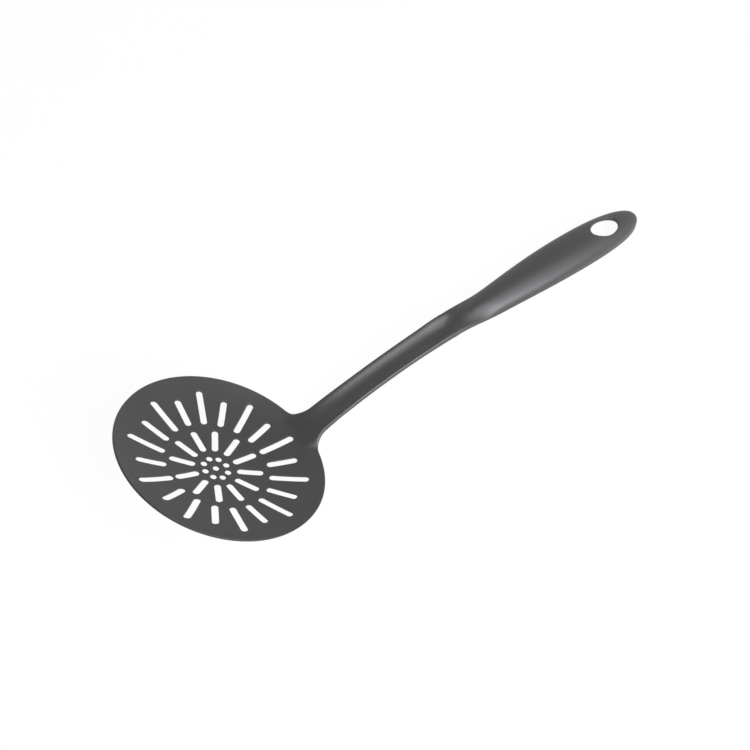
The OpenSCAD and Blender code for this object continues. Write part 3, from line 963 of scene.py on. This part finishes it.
def nylon(name, grain_scale, grain_height):
    """Dark nylon with slow changes of shade, painted shade on the blade, a faint ripple and a grain of this
    size.
    """
    finish = Finish(name)
    where = finish.add("ShaderNodeTexCoord")["Object"]
    flow = finish.noise(where, FLOW_SCALE, detail=2.0)
    ripple = finish.noise(where, RIPPLE_SCALE, detail=1.0)
    grain = finish.noise(where, grain_scale, detail=2.0, roughness=0.6)
    along_x = finish.add("ShaderNodeSeparateXYZ", {}, {"Vector": where})["X"]
    # Painted shade: a step in tone along X that paints the blade darker than the neck and the grip.
    thickness_and_painted_shade = finish.add(
        "ShaderNodeMapRange",
        {"interpolation_type": "SMOOTHSTEP"},
        {"Value": along_x, "From Min": BLADE_X, "From Max": NECK_X, "To Min": 0.0, "To Max": NECK_PAINTED_PALER},
    )["Result"]
    dark = [c * DARKEST for c in DARK_NYLON] + [1.0]
    pale = [c * PALEST for c in DARK_NYLON] + [1.0]
    stops = [(TONE_LOW, dark), (TONE_HIGH, pale)]
    tone = flow * FLOW_SHARE + grain * GRAIN_SHARE + thickness_and_painted_shade
    waves = finish.bump(ripple, RIPPLE_HEIGHT)
    shader = finish.add(
        "ShaderNodeBsdfPrincipled",
        {},
        {
            "Base Color": finish.add("ShaderNodeValToRGB", {"stops": stops}, {"Fac": tone})["Color"],
            "Roughness": GLOSS_ROUGH + (grain - 0.5) * GRAIN_ROUGH + (flow - 0.5) * FLOW_ROUGH,
            "Normal": finish.bump(grain, grain_height, waves),
            "IOR": NYLON_IOR,
            "Specular IOR Level": NYLON_SPECULAR,
        },
    )["BSDF"]
    return finish.surface(shader)


satin_nylon = nylon("satin_nylon", grain_scale=1500.0, grain_height=0.000004)
grained_nylon = nylon("grained_nylon", grain_scale=1300.0, grain_height=0.000008)
strainer_head.data.materials.append(satin_nylon)
grip_shell.data.materials.append(grained_nylon)
grip_back.data.materials.append(grained_nylon)
print("materials:", satin_nylon.name, "and", grained_nylon.name)

# %% [markdown]
# ## The table
# The skimmer lies on a white sweep: a floor that curves up into a wall all round, so that no edge
# shows from any side. A profile of a few points, spun once around, makes it. Its paper shows white
# to the camera and in reflections, but a little of its own shade stays, so a soft shadow does too.

# %% The table
FLOOR_R, CURVE_R, WALL_TOP, SWEEP_STEPS = 1.5, 1.0, 2.2, 64
PAPER = (0.82, 0.82, 0.82, 1.0)
WHITE = (1.0, 1.0, 1.0, 1.0)
SHOWN_WHITE = 0.95

curve = [math.radians(a) for a in range(0, 91, 10)]
profile = [(FLOOR_R + CURVE_R * math.sin(a), CURVE_R * (1 - math.cos(a))) for a in curve]
profile.append((FLOOR_R + CURVE_R, WALL_TOP))
sweep = bmesh.new()
end = bmesh.ops.create_vert(sweep, co=(0.0, 0.0, 0.0))["vert"][0]
for x, z in profile:
    end = bmesh.ops.extrude_vert_indiv(sweep, verts=[end])["verts"][0]
    end.co = (x, 0.0, z)
bmesh.ops.spin(
    sweep,
    geom=sweep.verts[:] + sweep.edges[:],
    cent=(0, 0, 0),
    axis=(0, 0, 1),
    angle=2 * math.pi,
    steps=SWEEP_STEPS,
    use_merge=True,
)
bmesh.ops.remove_doubles(sweep, verts=sweep.verts[:], dist=1e-6)
bmesh.ops.recalc_face_normals(sweep, faces=sweep.faces[:])
for face in sweep.faces:
    face.smooth = True
    if face.normal.z < -0.5:
        face.normal_flip()
sweep_mesh = bpy.data.meshes.new("white_sweep")
sweep.to_mesh(sweep_mesh)
sweep.free()
white_sweep = bpy.data.objects.new("white_sweep", sweep_mesh)
bpy.context.collection.objects.link(white_sweep)

paper = Finish("white_paper")
rays = paper.add("ShaderNodeLightPath")
seen = rays["Is Camera Ray"]
for ray in ("Is Glossy Ray", "Is Transmission Ray"):
    seen = paper.add("ShaderNodeMath", {"operation": "MAXIMUM"}, {0: seen, 1: rays[ray]})["Value"]
matt = paper.add("ShaderNodeBsdfDiffuse", {}, {"Color": PAPER})["BSDF"]
glow = paper.add("ShaderNodeEmission", {}, {"Color": WHITE, "Strength": 1.0})["Emission"]
blend = paper.add("ShaderNodeMixShader", {}, {0: seen * SHOWN_WHITE, 1: matt, 2: glow})["Shader"]
white_sweep.data.materials.append(paper.surface(blend))
print("sweep faces:", len(sweep_mesh.polygons))

# %% [markdown]
# ## The light
# Three soft lamps stand on the near side of the skimmer: one about 45 degrees up, one lower and one
# high up. Together they draw the long highlight on the flank of the grip and let it fade over the
# crown. Dark plastic shows a lamp mostly as a reflection, so the place and the size of a lamp matter
# more here than its power. The world adds an even white light from all sides.

# %% The light
STUDIO_STRENGTH = 0.35
LAMP_COLOUR = (0.95, 0.96, 1.0)
LAMP_DISTANCE = 1.3


def soft_lamp(name, toward, size, power):
    """A flat lamp in that direction from the middle of the skimmer, turned to face it."""
    data = bpy.data.lights.new(name, "AREA")
    data.shape = "RECTANGLE"
    data.size, data.size_y = size
    data.energy = power
    data.color = LAMP_COLOUR
    lamp = bpy.data.objects.new(name, data)
    bpy.context.collection.objects.link(lamp)
    length = math.sqrt(sum(c * c for c in toward))
    lamp.location = [c / length * LAMP_DISTANCE for c in toward]
    lamp.rotation_euler = lamp.location.to_track_quat("Z", "Y").to_euler()


world = bpy.data.worlds.new("studio")
bpy.context.scene.world = world
world.use_nodes = True
studio = world.node_tree.nodes["Background"].inputs
studio["Color"].default_value = WHITE
studio["Strength"].default_value = STUDIO_STRENGTH
soft_lamp("near_lamp", toward=(0.09, -0.72, 0.69), size=(0.65, 0.6), power=18.8)
soft_lamp("low_lamp", toward=(0.05, -0.88, 0.46), size=(0.6, 0.3), power=10.5)
soft_lamp("top_lamp", toward=(0.28, -0.26, 0.92), size=(0.6, 0.6), power=5.5)
bpy.context.scene.view_settings.view_transform = "Standard"
